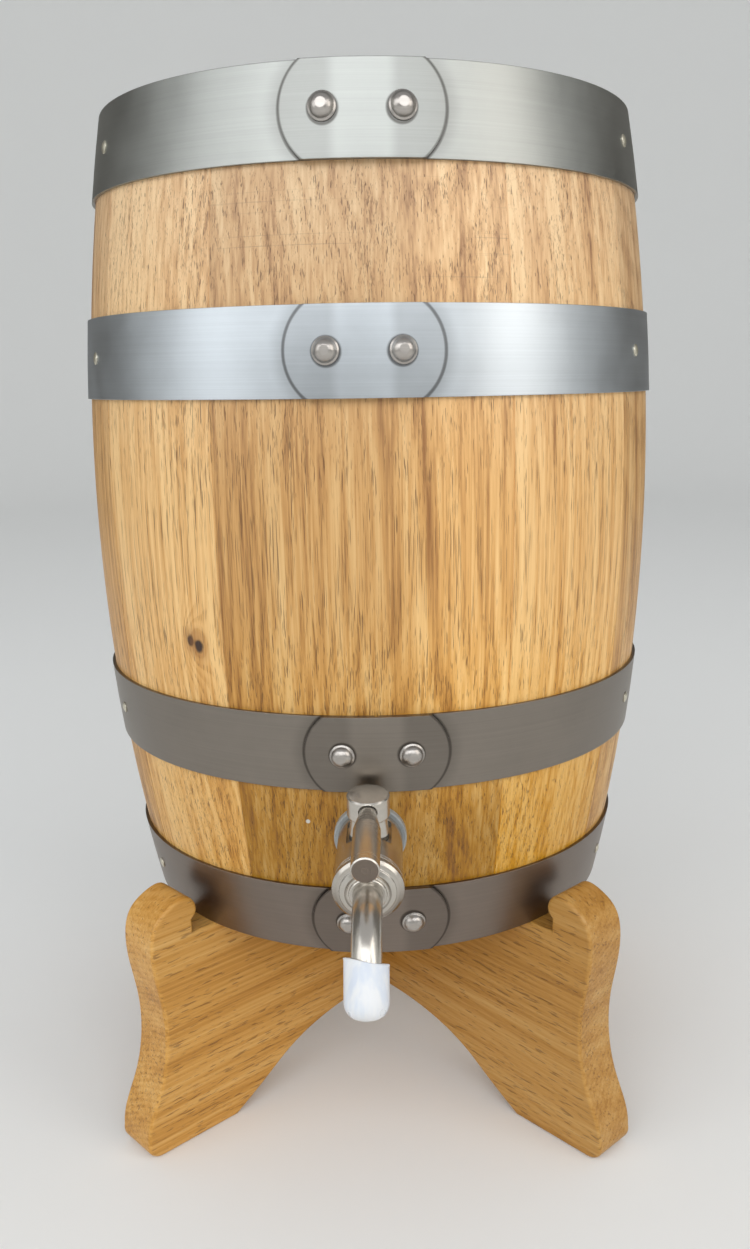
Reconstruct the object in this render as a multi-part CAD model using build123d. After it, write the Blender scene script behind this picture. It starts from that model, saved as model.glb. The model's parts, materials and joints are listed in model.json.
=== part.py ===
from build123d import *
import math
import os

# Small oak wine barrel that stands upright on a stand of two crossed boards.
# Millimetres. Z is up, the ground is z = 0 and the front, where the tap is, looks
# towards -Y. Everything is made round the barrel's axis and moved at the end, so that
# the origin is under the middle of the whole object's box, tap included. Azimuths are
# in degrees from the front, positive towards +X.

# ---- Driving dimensions -------------------------------------------------------------

# Barrel
barrel_height = 266.0
belly_radius = 100.2
end_radius = 87.1
stave_thickness = 13.0
stave_edge_break = 0.3
front_stave_span = 53.0
side_stave_span = 30.0
back_stave_count = 9

# Heads, held in the croze groove near each end of the staves
head_thickness = 10.0
head_depth = 17.0
head_board_half_width = 27.0
head_wall_gap = 0.4
croze_width = 4.0
croze_depth = 4.0
chime_bevel_depth = 12.0
chime_bevel_width = 4.5
dowel_radius = 2.5
dowel_length = 24.0
dowel_offset = 40.0

# Bung in the top head
bung_hole_top_radius = 13.5
bung_hole_taper = 0.06
bung_clearance = 0.05
bung_above_head = 12.0
bung_below_head = 8.0
bung_edge_break = 1.2

# Hoops: height of each hoop's lower edge above the barrel's bottom end, the azimuth
# of its joining plate and the azimuths of the two nails on each side of the front
hoop_width = 25.0
hoop_thickness = 1.2
hoop_butt_gap = 1.2
hoops = {
    "bottom": {"low": 0.0, "joint": 1.8, "nails": (-62.0, 68.2)},
    "lower": {"low": 61.5, "joint": 1.6, "nails": (-63.5, 66.9)},
    "upper": {"low": 179.5, "joint": 0.8, "nails": (-61.3, 61.1)},
    "top": {"low": 241.0, "joint": 1.2, "nails": (-60.6, 63.4)},
}
back_nail_azimuth = 124.0

# Oval plate over the butt joint of each hoop
plate_length = 45.5
plate_end_sagitta = 5.8
plate_thickness = 1.2
plate_blank_span = 40.0

# Rivets through plate and hoop. rivet_shoulder is where the head is roundest, as shares
# of its dome's radius and of its height.
rivet_spacing = 21.4
rivet_shank_radius = 2.0
rivet_shank_gap = 0.05
rivet_hole_length = 6.0
rivet_rim_radius = 3.9
rivet_rim_height = 0.7
rivet_dome_radius = 3.35
rivet_height = 2.7
rivet_flat_radius = 1.4
rivet_shoulder = (0.78, 0.74)

# Hoop nails
nail_head_radius = 1.9
nail_head_height = 0.8
nail_edge_height = 0.25
nail_shank_radius = 0.8
nail_length = 8.0
nail_point_length = 2.0

# Stand. board_turns are the azimuths of the two boards.
board_thickness = 18.0
board_turns = (-45.8, 44.2)
seat_height = 83.0
board_edge_radius = 1.2
lap_height = 28.0

# Tap. Its axis leaves the front stave square to the stave's surface. Lengths are
# measured outwards from that surface, heights from the tap's axis.
tap_height = 45.0
washer_radius = 11.6
washer_thickness = 2.0
washer_edge_break = 0.4
washer_blank_depth = 2.0
shank_radius = 8.0
shank_length = 22.0
shank_edge_break = 1.0
tap_bore_radius = 3.6
body_radius = 10.3
body_edge_break = 0.4
body_front = 29.2
body_groove_places = (27.0, 28.2)
body_groove_width = 0.45
body_groove_depth = 0.3
nose_socket_radius = 7.5
nose_socket_depth = 5.0
nose_socket_gap = 0.2

# Outside of the outlet nose: radius and distance in front of the body, for the
# shoulder, the step behind the boss, the boss and the collar round the spout
nose_profile = (
    (7.5, 0.0),
    (10.3, 0.0),
    (10.8, 0.5),
    (10.8, 1.8),
    (9.9, 2.7),
    (8.9, 2.9),
    (8.6, 3.1),
    (8.4, 3.5),
    (7.2, 4.1),
    (6.9, 4.1),
    (6.1, 3.8),
    (5.7, 3.9),
    (5.6, 4.7),
    (5.3, 5.0),
)

# Lever on the tap: hub, rod and valve plug turn together on the hub's axis
hub_place = 11.5
window_half_width = 6.8
window_half_length = 6.6
window_floor = 7.0
window_corner_radius = 1.2
hub_radius = 6.55
hub_low = 14.7
hub_top = 21.5
hub_dome = 0.5
hub_edge_break = 0.5
skirt_low = 7.3
skirt_low_radius = 6.3
skirt_top_radius = 5.5
skirt_top = 13.7
stem_radius = 3.0
stem_top = 13.0
rod_height = 18.2
rod_start = 14.5
rod_thread_radius = 2.0
rod_neck_radius = 2.6
rod_neck_start = 16.2
rod_socket_radius = 2.85
rod_radius = 4.1
rod_taper_start = 18.4
rod_taper_end = 28.0
rod_end = 49.2
rod_edge_break = 0.5
plug_clearance = 0.2
plug_radius = 4.68
plug_bore_radius = 4.70
plug_low = -7.6
plug_pocket_low = -8.0
plug_port_radius = 3.2
oring_width = 1.2
oring_depth = 0.9
oring_heights = (4.9, -6.1)

# Spout tube: straight out of the nose, then one bend. spout_corner is where the lines of
# its two straight runs meet, and spout_lean is the lower run's lean out of the vertical.
tube_radius = 4.4
tube_wall = 1.0
tube_start = 29.0
tube_bend_radius = 18.0
spout_corner = 51.9
spout_lean = 28.0
spout_run = 20.7
seal_radius = 6.0
seal_width = 1.6
seal_place = 29.6

# Slip-on cap, measured along the spout's lower run from its corner
cap_radius = 6.55
cap_bore_radius = 5.0
cap_rim = 7.6
cap_end = 24.0
cap_rim_slope = 10.0
cap_wall_below = 1.8
cap_bottom_radius = 4.6


# ---- Derived sizes and helpers -------------------------------------------------------

half_height = barrel_height / 2
bulge = belly_radius - end_radius
arc_radius = (half_height**2 + bulge**2) / (2 * bulge)
arc_centre = belly_radius - arc_radius
tap_tilt = math.degrees(math.asin((half_height - tap_height) / arc_radius))


def wall_radius(height, outward=0.0):
    """Radius of the staves' outer surface at a height, or of a shell outside it."""
    reach = arc_radius + outward
    return arc_centre + math.sqrt(reach**2 - (height - half_height) ** 2)


def inner_radius(height):
    """Radius of the staves' inner surface at a height."""
    return wall_radius(height, -stave_thickness)


def wall_arc(low, high, outward=0.0):
    """Edge along the staves' bulging profile in the XZ plane."""
    heights = (low, (low + high) / 2, high)
    points = [(wall_radius(height, outward), 0, height) for height in heights]
    return ThreePointArc(*points)


def shell_section(low, high, inner, outer):
    """Section of a shell round the barrel, between two offsets from the staves."""
    inside = wall_arc(low, high, inner)
    outside = wall_arc(low, high, outer)
    bottom = Line(inside @ 0, outside @ 0)
    top = Line(inside @ 1, outside @ 1)
    return Face(Wire([inside, bottom, outside, top]))


def cap_arc(rim, low, rise):
    """Edge of a round cap over a rim, from the rim up to the Z axis."""
    reach = (rim**2 + rise**2) / (2 * rise)
    middle = math.sqrt(reach**2 - rim**2 / 4) - reach + rise
    return ThreePointArc((rim, 0, low), (rim / 2, 0, low + middle), (0, 0, low + rise))


def rectangle(x_low, z_low, x_high, z_high):
    """Rectangular face in the XZ plane."""
    corners = [(x_low, 0, z_low), (x_high, 0, z_low), (x_high, 0, z_high), (x_low, 0, z_high)]
    return Face(Polyline(*corners, close=True).wire())


def turned(points):
    """Solid of revolution about Z from the (radius, height) corners of its section."""
    corners = [(radius, 0, height) for radius, height in points]
    return revolve(Face(Polyline(*corners, close=True).wire()), Axis.Z)


def face_azimuth(shape, azimuth):
    """Turn a shape made in the +X half of the XZ plane to an azimuth of the barrel."""
    return shape.rotate(Axis.Z, azimuth - 90)


def wall_plane(azimuth, height, outward=0.0):
    """Plane on the staves' surface whose normal points straight out of the barrel."""
    lean = math.asin((height - half_height) / arc_radius)
    turn = math.radians(azimuth)
    ahead = (math.sin(turn), -math.cos(turn))
    normal = (ahead[0] * math.cos(lean), ahead[1] * math.cos(lean), math.sin(lean))
    reach = wall_radius(height)
    origin = (
        ahead[0] * reach + normal[0] * outward,
        ahead[1] * reach + normal[1] * outward,
        height + normal[2] * outward,
    )
    side = (math.cos(turn), math.sin(turn), 0)
    return Plane(origin=origin, x_dir=side, z_dir=normal)


def on_plane(plane, shape):
    """Move a shape from its own frame to a plane."""
    return plane.location * shape


parts = {}


# ---- Barrel wood ---------------------------------------------------------------------


def stave_section():
    """Section of one stave: bulging plank, two croze grooves and bevelled chimes."""
    section = shell_section(0, barrel_height, -stave_thickness, 0)
    for groove_height in (head_depth, barrel_height - head_depth):
        inside = inner_radius(groove_height)
        groove = rectangle(
            inside - croze_depth,
            groove_height - croze_width / 2,
            inside + croze_depth,
            groove_height + croze_width / 2,
        )
        section = section - groove
    inside = end_radius - stave_thickness
    for end, step in ((0.0, 1), (barrel_height, -1)):
        corners = [
            (inside - chime_bevel_width, 0, end - step),
            (inside + chime_bevel_width, 0, end - step),
            (inside + chime_bevel_width, 0, end),
            (inside - chime_bevel_width, 0, end + 2 * step * chime_bevel_depth),
        ]
        section = section - Face(Polyline(*corners, close=True).wire())
    return section.face()


def make_stave(section, start, span):
    """One stave, from an azimuth over a span, with its long outer edges broken."""
    stave = revolve(section, Axis.Z, revolution_arc=span)
    stave = face_azimuth(stave, start)
    long_edges = [
        edge
        for edge in stave.edges()
        if edge.length > 0.9 * barrel_height
        and math.hypot(edge.center().X, edge.center().Y) > belly_radius - stave_thickness / 2
    ]
    return chamfer(long_edges, stave_edge_break)


back_span = (360 - front_stave_span - 2 * side_stave_span) / back_stave_count
stave_spans = [front_stave_span, side_stave_span] + [back_span] * back_stave_count + [side_stave_span]
section = stave_section()
start = -front_stave_span / 2
for number, span in enumerate(stave_spans, 1):
    parts[f"stave_{number:02d}"] = make_stave(section, start, span)
    start = start + span


def head_disc(height):
    """Whole head with its tongue in the croze groove, before it is cut into boards."""
    low = height - head_thickness / 2
    high = height + head_thickness / 2
    tongue_low = height - croze_width / 2
    tongue_high = height + croze_width / 2
    inside_low = min(inner_radius(low), inner_radius(tongue_low)) - head_wall_gap
    inside_high = min(inner_radius(tongue_high), inner_radius(high)) - head_wall_gap
    tongue = inner_radius(height) + croze_depth - head_wall_gap
    return turned(
        [
            (0, low),
            (inside_low, low),
            (inside_low, tongue_low),
            (tongue, tongue_low),
            (tongue, tongue_high),
            (inside_high, tongue_high),
            (inside_high, high),
            (0, high),
        ]
    )


def head_dowels(height):
    """Four dowels that cross the two joints between a head's boards."""
    dowels = []
    for x in (-dowel_offset, dowel_offset):
        for y in (-head_board_half_width, head_board_half_width):
            dowel = Cylinder(dowel_radius, dowel_length, rotation=(90, 0, 0))
            dowels.append(Pos(x, y, height) * dowel)
    return dowels


def head_boards(height):
    """Front, middle and back board of a head, drilled for the dowels."""
    disc = head_disc(height)
    length, thickness = 3 * belly_radius, 2 * head_thickness
    middle_slab = Pos(0, 0, height) * Box(length, 2 * head_board_half_width, thickness)
    half_slab = Pos(0, 0, height) * Box(length, 2 * belly_radius, thickness)
    front_slab = Pos(0, -belly_radius, 0) * half_slab
    back_slab = Pos(0, belly_radius, 0) * half_slab
    boards = {
        "front": (disc - middle_slab) & front_slab,
        "middle": disc & middle_slab,
        "back": (disc - middle_slab) & back_slab,
    }
    for name in boards:
        for dowel in head_dowels(height):
            boards[name] = boards[name] - dowel
    return boards


top_head_height = barrel_height - head_depth
top_head_surface = top_head_height + head_thickness / 2
top_head_underside = top_head_height - head_thickness / 2
bung_hole_low_radius = bung_hole_top_radius - bung_hole_taper * head_thickness
bung_hole = turned(
    [
        (0, top_head_underside),
        (bung_hole_low_radius, top_head_underside),
        (bung_hole_top_radius, top_head_surface),
        (0, top_head_surface),
    ]
)
for end_name, height in (("bottom", head_depth), ("top", top_head_height)):
    for board_name, board in head_boards(height).items():
        parts[f"head_{end_name}_{board_name}"] = board
    parts[f"head_dowels_{end_name}"] = Compound(children=head_dowels(height))
parts["head_top_middle"] = parts["head_top_middle"] - bung_hole

bung_top_radius = bung_hole_top_radius + bung_hole_taper * bung_above_head - bung_clearance
bung_low_radius = bung_hole_low_radius - bung_hole_taper * bung_below_head - bung_clearance
bung_top = top_head_surface + bung_above_head
bung_low = top_head_underside - bung_below_head
bung_low_step = bung_low_radius + bung_hole_taper * bung_edge_break
parts["bung"] = turned(
    [
        (0, bung_low),
        (bung_low_radius - bung_edge_break, bung_low),
        (bung_low_step, bung_low + bung_edge_break),
        (bung_top_radius - bung_hole_taper * bung_edge_break, bung_top - bung_edge_break),
        (bung_top_radius - bung_edge_break, bung_top),
        (0, bung_top),
    ]
)


# ---- Hoops, plates, rivets and nails -------------------------------------------------


def plate_outline():
    """Plate seen from the front: straight along both hoop edges, round at both ends."""
    half_length = plate_length / 2
    corner = half_length - plate_end_sagitta
    half_width = hoop_width / 2
    top = Line((-corner, 0, half_width), (corner, 0, half_width))
    right = ThreePointArc((corner, 0, half_width), (half_length, 0, 0), (corner, 0, -half_width))
    bottom = Line((corner, 0, -half_width), (-corner, 0, -half_width))
    left = ThreePointArc((-corner, 0, -half_width), (-half_length, 0, 0), (-corner, 0, half_width))
    return Face(Wire([top, right, bottom, left]))


def make_rivet():
    """Rivet whose head stands on z = 0 and whose shank reaches down through the hoop."""
    shank_low = rivet_shank_gap - plate_thickness - hoop_thickness
    dome_middle = (rivet_shoulder[0] * rivet_dome_radius, 0, rivet_shoulder[1] * rivet_height)
    shank = Line((0, 0, shank_low), (rivet_shank_radius, 0, shank_low))
    side = Line((rivet_shank_radius, 0, shank_low), (rivet_shank_radius, 0, 0))
    under = Line((rivet_shank_radius, 0, 0), (rivet_rim_radius, 0, 0))
    rim = Line((rivet_rim_radius, 0, 0), (rivet_rim_radius, 0, rivet_rim_height / 2))
    step = Line(
        (rivet_rim_radius, 0, rivet_rim_height / 2),
        (rivet_dome_radius, 0, rivet_rim_height),
    )
    dome = ThreePointArc(
        (rivet_dome_radius, 0, rivet_rim_height),
        dome_middle,
        (rivet_flat_radius, 0, rivet_height),
    )
    flat = Line((rivet_flat_radius, 0, rivet_height), (0, 0, rivet_height))
    axis = Line((0, 0, rivet_height), (0, 0, shank_low))
    section = Face(Wire([shank, side, under, rim, step, dome, flat, axis]))
    return revolve(section, Axis.Z)


def make_nail():
    """Hoop nail with a low round head on z = 0 and its shank below."""
    edge = Line((nail_head_radius, 0, 0), (nail_head_radius, 0, nail_edge_height))
    dome = cap_arc(nail_head_radius, nail_edge_height, nail_head_height - nail_edge_height)
    axis = Line((0, 0, nail_head_height), (0, 0, -nail_length))
    point_top = (nail_shank_radius, 0, nail_point_length - nail_length)
    point = Line((0, 0, -nail_length), point_top)
    shank = Line(point_top, (nail_shank_radius, 0, 0))
    under = Line((nail_shank_radius, 0, 0), (nail_head_radius, 0, 0))
    return revolve(Face(Wire([edge, dome, axis, point, shank, under])), Axis.Z)


rivets = []
nails = []
for hoop_name, hoop_data in hoops.items():
    low = hoop_data["low"]
    middle = low + hoop_width / 2
    reach = wall_radius(middle, hoop_thickness)
    gap_angle = math.degrees(hoop_butt_gap / reach)
    hoop = revolve(
        shell_section(low, low + hoop_width, 0, hoop_thickness),
        Axis.Z,
        revolution_arc=360 - gap_angle,
    )
    hoop = face_azimuth(hoop, hoop_data["joint"] + gap_angle / 2)

    cover = revolve(
        shell_section(low, low + hoop_width, hoop_thickness, hoop_thickness + plate_thickness),
        Axis.Z,
        revolution_arc=plate_blank_span,
    )
    cover = face_azimuth(cover, -plate_blank_span / 2)
    stamp = extrude(Pos(0, 0, middle) * plate_outline(), 2 * belly_radius, dir=(0, -1, 0))
    plate = (cover & stamp).rotate(Axis.Z, hoop_data["joint"])

    rivet_angle = math.degrees(rivet_spacing / 2 / reach)
    for azimuth in (hoop_data["joint"] - rivet_angle, hoop_data["joint"] + rivet_angle):
        seat = wall_plane(azimuth, middle, hoop_thickness + plate_thickness)
        rivets.append(on_plane(seat, make_rivet()))
        hole = on_plane(seat, Cylinder(rivet_shank_radius, rivet_hole_length))
        hoop = hoop - hole
        plate = plate - hole

    front_nails = hoop_data["nails"]
    for azimuth in front_nails + (-back_nail_azimuth, back_nail_azimuth):
        seat = wall_plane(azimuth, middle, hoop_thickness)
        nail = on_plane(seat, make_nail())
        nails.append(nail)
        hoop = hoop - nail

    parts[f"hoop_{hoop_name}"] = hoop
    parts[f"hoop_plate_{hoop_name}"] = plate

parts["hoop_rivets"] = Compound(children=rivets)
parts["hoop_nails"] = Compound(children=nails)
for number in range(1, len(stave_spans) + 1):
    name = f"stave_{number:02d}"
    box = parts[name].bounding_box()
    for nail in nails:
        spot = nail.bounding_box()
        apart = (
            spot.min.X > box.max.X
            or spot.max.X < box.min.X
            or spot.min.Y > box.max.Y
            or spot.max.Y < box.min.Y
        )
        if not apart:
            parts[name] = parts[name] - nail


# ---- Tap -----------------------------------------------------------------------------

tap_plane = wall_plane(0, tap_height)
barrel_envelope = revolve(
    Face(
        Wire(
            [
                wall_arc(0, barrel_height),
                Line((end_radius, 0, barrel_height), (0, 0, barrel_height)),
                Line((0, 0, barrel_height), (0, 0, 0)),
                Line((0, 0, 0), (end_radius, 0, 0)),
            ]
        )
    ),
    Axis.Z,
)


def across_tap(place, low, high, radius):
    """Cylinder square to the tap's axis, upright in the tap's own frame."""
    length = high - low
    return Pos(0, (low + high) / 2, place) * Cylinder(radius, length, rotation=(90, 0, 0))


def along_tap(points):
    """Turned solid about the tap's axis from (radius, distance out) corners."""
    return turned(points)


tap_hole = Pos(0, 0, -shank_length / 2) * Cylinder(shank_radius, shank_length + 2)
parts["stave_01"] = parts["stave_01"] - on_plane(tap_plane, tap_hole)

washer_blank = along_tap(
    [
        (shank_radius, -washer_blank_depth),
        (washer_radius, -washer_blank_depth),
        (washer_radius, washer_thickness - washer_edge_break),
        (washer_radius - washer_edge_break, washer_thickness),
        (shank_radius, washer_thickness),
    ]
)
parts["tap_washer"] = on_plane(tap_plane, washer_blank) - barrel_envelope


def make_tap_body():
    """Tap body in the tap's frame: threaded shank, cylinder, lever window and bores."""
    corners = [
        (tap_bore_radius, -shank_length),
        (shank_radius - shank_edge_break, -shank_length),
        (shank_radius, shank_edge_break - shank_length),
        (shank_radius, washer_thickness),
        (body_radius - body_edge_break, washer_thickness),
        (body_radius, washer_thickness + body_edge_break),
    ]
    for place in body_groove_places:
        corners.append((body_radius, place))
        corners.append((body_radius - body_groove_depth, place))
        corners.append((body_radius - body_groove_depth, place + body_groove_width))
        corners.append((body_radius, place + body_groove_width))
    socket_floor = body_front - nose_socket_depth
    corners.append((body_radius, body_front))
    corners.append((nose_socket_radius, body_front))
    corners.append((nose_socket_radius, socket_floor))
    corners.append((tap_bore_radius, socket_floor))
    body = along_tap(corners)
    window = Pos(0, window_floor + body_radius / 2, hub_place) * Box(
        2 * window_half_width, body_radius, 2 * window_half_length
    )
    window = fillet(window.edges().filter_by(Axis.Y), window_corner_radius)
    pocket = across_tap(hub_place, plug_pocket_low, body_radius, plug_bore_radius)
    return body - window - pocket


def make_valve_plug():
    """Valve plug with its flow port, two seal grooves and the stem into the hub."""
    plug_top = window_floor - plug_clearance
    plug = across_tap(hub_place, plug_low, plug_top, plug_radius)
    plug = plug + across_tap(hub_place, plug_top - plug_clearance, stem_top, stem_radius)
    for height in oring_heights:
        plug = plug - oring(height)
    port = Pos(0, 0, hub_place) * Cylinder(plug_port_radius, 4 * plug_radius)
    return plug - port


def oring(height):
    """O-ring squeezed into its groove on the valve plug."""
    ring = across_tap(hub_place, height, height + oring_width, plug_radius)
    return ring - across_tap(hub_place, height, height + oring_width, plug_radius - oring_depth)


def make_hub():
    """Hub of the lever: skirt in the body's window and a cylinder with a domed top."""
    low_line = [
        (0, skirt_low),
        (skirt_low_radius, skirt_low),
        (skirt_top_radius, skirt_top),
        (hub_radius, hub_low),
        (hub_radius, hub_top - hub_edge_break),
        (hub_radius - hub_edge_break, hub_top),
    ]
    edges = [Line((a[0], 0, a[1]), (b[0], 0, b[1])) for a, b in zip(low_line, low_line[1:])]
    edges.append(cap_arc(hub_radius - hub_edge_break, hub_top, hub_dome))
    edges.append(Line((0, 0, hub_top + hub_dome), (0, 0, skirt_low)))
    hub = revolve(Face(Wire(edges)), Axis.Z)
    hub = Pos(0, 0, hub_place) * hub.rotate(Axis.X, -90)
    hub = hub - across_tap(hub_place, skirt_low - plug_clearance, stem_top, stem_radius)
    for hole_start, radius in ((rod_start, rod_thread_radius), (rod_neck_start, rod_socket_radius)):
        hole = Cylinder(radius, hub_radius)
        hub = hub - Pos(0, rod_height, hole_start + hub_radius / 2) * hole
    return hub


def make_rod():
    """Lever rod: thread and neck in the hub, a long taper and a turned cylinder."""
    rod = along_tap(
        [
            (0, rod_start),
            (rod_thread_radius, rod_start),
            (rod_thread_radius, rod_neck_start),
            (rod_neck_radius, rod_neck_start),
            (rod_neck_radius, rod_taper_start),
            (rod_radius, rod_taper_end),
            (rod_radius, rod_end - rod_edge_break),
            (rod_radius - rod_edge_break, rod_end),
            (0, rod_end),
        ]
    )
    return Pos(0, rod_height, 0) * rod


def make_nose():
    """Outlet nose screwed into the body's front: shoulder, stepped boss and collar."""
    socket_end = body_front - nose_socket_depth + nose_socket_gap
    nose_front = body_front + nose_profile[-1][1]
    corners = [(tube_radius, socket_end), (nose_socket_radius, socket_end)]
    corners += [(radius, body_front + distance) for radius, distance in nose_profile]
    corners += [
        (tube_radius, nose_front),
        (tube_radius, seal_place + seal_width),
        (seal_radius, seal_place + seal_width),
        (seal_radius, seal_place),
        (tube_radius, seal_place),
    ]
    return along_tap(corners)


def make_spout_seal():
    """Ring seal between nose and spout tube."""
    high = seal_place + seal_width
    return along_tap(
        [(tube_radius, seal_place), (seal_radius, seal_place), (seal_radius, high), (tube_radius, high)]
    )


for name, shape in {
    "tap_body": make_tap_body(),
    "tap_valve_plug": make_valve_plug(),
    "tap_lever_hub": make_hub(),
    "tap_lever_rod": make_rod(),
    "tap_nose": make_nose(),
    "spout_seal": make_spout_seal(),
}.items():
    parts[name] = on_plane(tap_plane, shape)
parts["valve_orings"] = Compound(
    children=[on_plane(tap_plane, oring(height)) for height in oring_heights]
)


# Spout: straight out along the tap's axis, one bend, then down and forwards.
spout_turn = math.radians(spout_lean)
spout_direction = Vector(0, -math.sin(spout_turn), -math.cos(spout_turn))
corner_point = tap_plane.from_local_coords((0, 0, spout_corner))
tube_from = tap_plane.from_local_coords((0, 0, tube_start))
tube_to = corner_point + spout_direction * spout_run
tube_path = FilletPolyline(tube_from, corner_point, tube_to, radius=tube_bend_radius)
path_start = Plane(origin=tube_from, x_dir=(1, 0, 0), z_dir=tap_plane.z_dir)
tube_outside = sweep(path_start * Circle(tube_radius), tube_path)
tube_inside = sweep(path_start * Circle(tube_radius - tube_wall), tube_path)
parts["spout_tube"] = tube_outside - tube_inside


def make_cap():
    """Spout cap with its axis on Z, closed end up at z = 0 and mouth below."""
    length = cap_end - cap_rim
    blank_length = length + cap_radius
    outside = Pos(0, 0, -blank_length / 2) * Cylinder(cap_radius, blank_length)
    outside = fillet(outside.edges().sort_by(Axis.Z)[-1], cap_bottom_radius)
    bore = Pos(0, 0, -cap_wall_below - blank_length / 2) * Cylinder(cap_bore_radius, blank_length)
    inner_radius_at_end = cap_bottom_radius - cap_radius + cap_bore_radius
    bore = fillet(bore.edges().sort_by(Axis.Z)[-1], inner_radius_at_end)
    cutter_size = 3 * blank_length
    cutter = Pos(0, 0, -cutter_size / 2) * Box(cutter_size, cutter_size, cutter_size)
    beyond_rim = Pos(0, 0, -length) * Rot(0, -cap_rim_slope, 0) * cutter
    return outside - bore - beyond_rim


cap_plane = Plane(
    origin=corner_point + spout_direction * cap_end, x_dir=(1, 0, 0), z_dir=spout_direction
)
parts["spout_cap"] = on_plane(cap_plane, make_cap())


# ---- Everything so far stands on the seat of the stand -------------------------------

for name in parts:
    parts[name] = Pos(0, 0, seat_height) * parts[name]


# ---- Stand ---------------------------------------------------------------------------


def board_outline():
    """Half outline of a stand board: seat, lobe beside the barrel, leg, foot and arch."""
    notch_low = (97.5, 0, seat_height)
    notch_top = (97.5, 0, seat_height + 5)
    toe_top = (122.3, 0, 7)
    toe_end = (117, 0, 0)
    heel = (84, 0, 0)
    arch_top = (0, 0, seat_height - 56)
    lobe_and_leg = [
        notch_top,
        (95.3, 0, seat_height + 9),
        (98.3, 0, seat_height + 13.7),
        (105, 0, seat_height + 13),
        (112, 0, seat_height + 8),
        (114.7, 0, seat_height - 3),
        (112, 0, seat_height - 25),
        (112, 0, seat_height - 41),
        (116, 0, seat_height - 57),
        (121, 0, seat_height - 68.5),
        toe_top,
    ]
    arch = [
        heel,
        (80, 0, seat_height - 80.7),
        (69, 0, seat_height - 74),
        (58, 0, seat_height - 67),
        (45, 0, seat_height - 61.5),
        (26, 0, seat_height - 57.5),
        arch_top,
    ]
    seat = Line((0, 0, seat_height), notch_low)
    notch = Line(notch_low, notch_top)
    outer = Spline(lobe_and_leg)
    toe = TangentArc(toe_end, toe_top, tangent=(1, 0, 0))
    foot = Line(toe_end, heel)
    under = Spline(arch)
    middle = Line(arch_top, (0, 0, seat_height))
    return Face(Wire([seat, notch, outer, toe, foot, under, middle]))


def make_board():
    """Whole board in the XZ plane with rounded edges, but square under its feet."""
    half_thickness = board_thickness / 2
    half_board = extrude(board_outline(), half_thickness, dir=(0, 1, 0), both=True)
    whole = half_board + mirror(half_board, Plane.YZ)
    outline_edges = [
        edge
        for edge in whole.edges()
        if abs(abs(edge.center().Y) - half_thickness) < 0.01 and edge.center().Z > 0.5
    ]
    return fillet(outline_edges, board_edge_radius)


board = make_board()
lap_floor = seat_height - lap_height
lower_slot = Pos(0, 0, lap_floor / 2) * Box(board_thickness, 2 * board_thickness, lap_floor)
upper_slot = Pos(0, 0, lap_floor + lap_height) * Box(
    board_thickness, 2 * board_thickness, 2 * lap_height
)
parts["stand_board_left"] = face_azimuth(board - upper_slot, board_turns[0])
parts["stand_board_right"] = face_azimuth(board - lower_slot, board_turns[1])


# ---- Origin and files ------------------------------------------------------------------

front_reach = parts["spout_cap"].bounding_box().min.Y
back_reach = max(shape.bounding_box().max.Y for shape in parts.values())
axis_shift = -round((front_reach + back_reach) / 2, 2)

os.makedirs("parts", exist_ok=True)
for name, shape in parts.items():
    export_step(Pos(0, axis_shift, 0) * shape, f"parts/{name}.step")
print(len(parts), "nodes, barrel axis at y =", axis_shift)
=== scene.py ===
import json
import math
import random

import bpy
import bmesh
from mathutils import Matrix, Vector


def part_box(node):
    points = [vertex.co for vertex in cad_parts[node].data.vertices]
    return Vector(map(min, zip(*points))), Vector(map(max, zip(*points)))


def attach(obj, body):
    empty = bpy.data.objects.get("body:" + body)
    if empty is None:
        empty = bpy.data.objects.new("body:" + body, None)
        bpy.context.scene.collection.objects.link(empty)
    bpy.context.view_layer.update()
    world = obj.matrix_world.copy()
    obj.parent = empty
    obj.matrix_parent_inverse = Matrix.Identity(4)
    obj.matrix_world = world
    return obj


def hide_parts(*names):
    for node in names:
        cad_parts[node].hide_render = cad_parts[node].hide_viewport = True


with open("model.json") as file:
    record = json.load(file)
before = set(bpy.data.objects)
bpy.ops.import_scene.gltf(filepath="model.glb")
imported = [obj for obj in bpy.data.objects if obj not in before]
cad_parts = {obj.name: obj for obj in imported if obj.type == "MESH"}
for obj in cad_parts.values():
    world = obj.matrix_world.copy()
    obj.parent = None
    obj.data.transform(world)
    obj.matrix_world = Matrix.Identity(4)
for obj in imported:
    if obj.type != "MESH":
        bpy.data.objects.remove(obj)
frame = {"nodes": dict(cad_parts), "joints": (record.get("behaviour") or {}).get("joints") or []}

# Looks of the oak barrel, its hoops, tap and stand. Metres, and degrees unless a comment
# says radians. Azimuths run round the barrel's axis from the front (-Y), positive towards +X.

nodes = frame["nodes"]
for leftover in ("Cube", "Light", "Camera"):
    if leftover in bpy.data.objects and leftover not in nodes:
        bpy.data.objects.remove(bpy.data.objects[leftover])
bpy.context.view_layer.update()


# ---- Places taken from the frame ---------------------------------------------------------

hoop_low, hoop_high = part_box("hoop_top")
axis_y = (hoop_low.y + hoop_high.y) / 2
belly_height = (hoop_high.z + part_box("hoop_bottom")[0].z) / 2

lever_joint = next(joint for joint in frame["joints"] if joint["name"] == "tap_lever_turn")
hub_axis = Vector(lever_joint["axis"]).normalized()
hub_place = Vector(lever_joint["pos_m"])
tap_out = Vector((0, -hub_axis.z, hub_axis.y))


# ---- Node materials ------------------------------------------------------------------------


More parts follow.
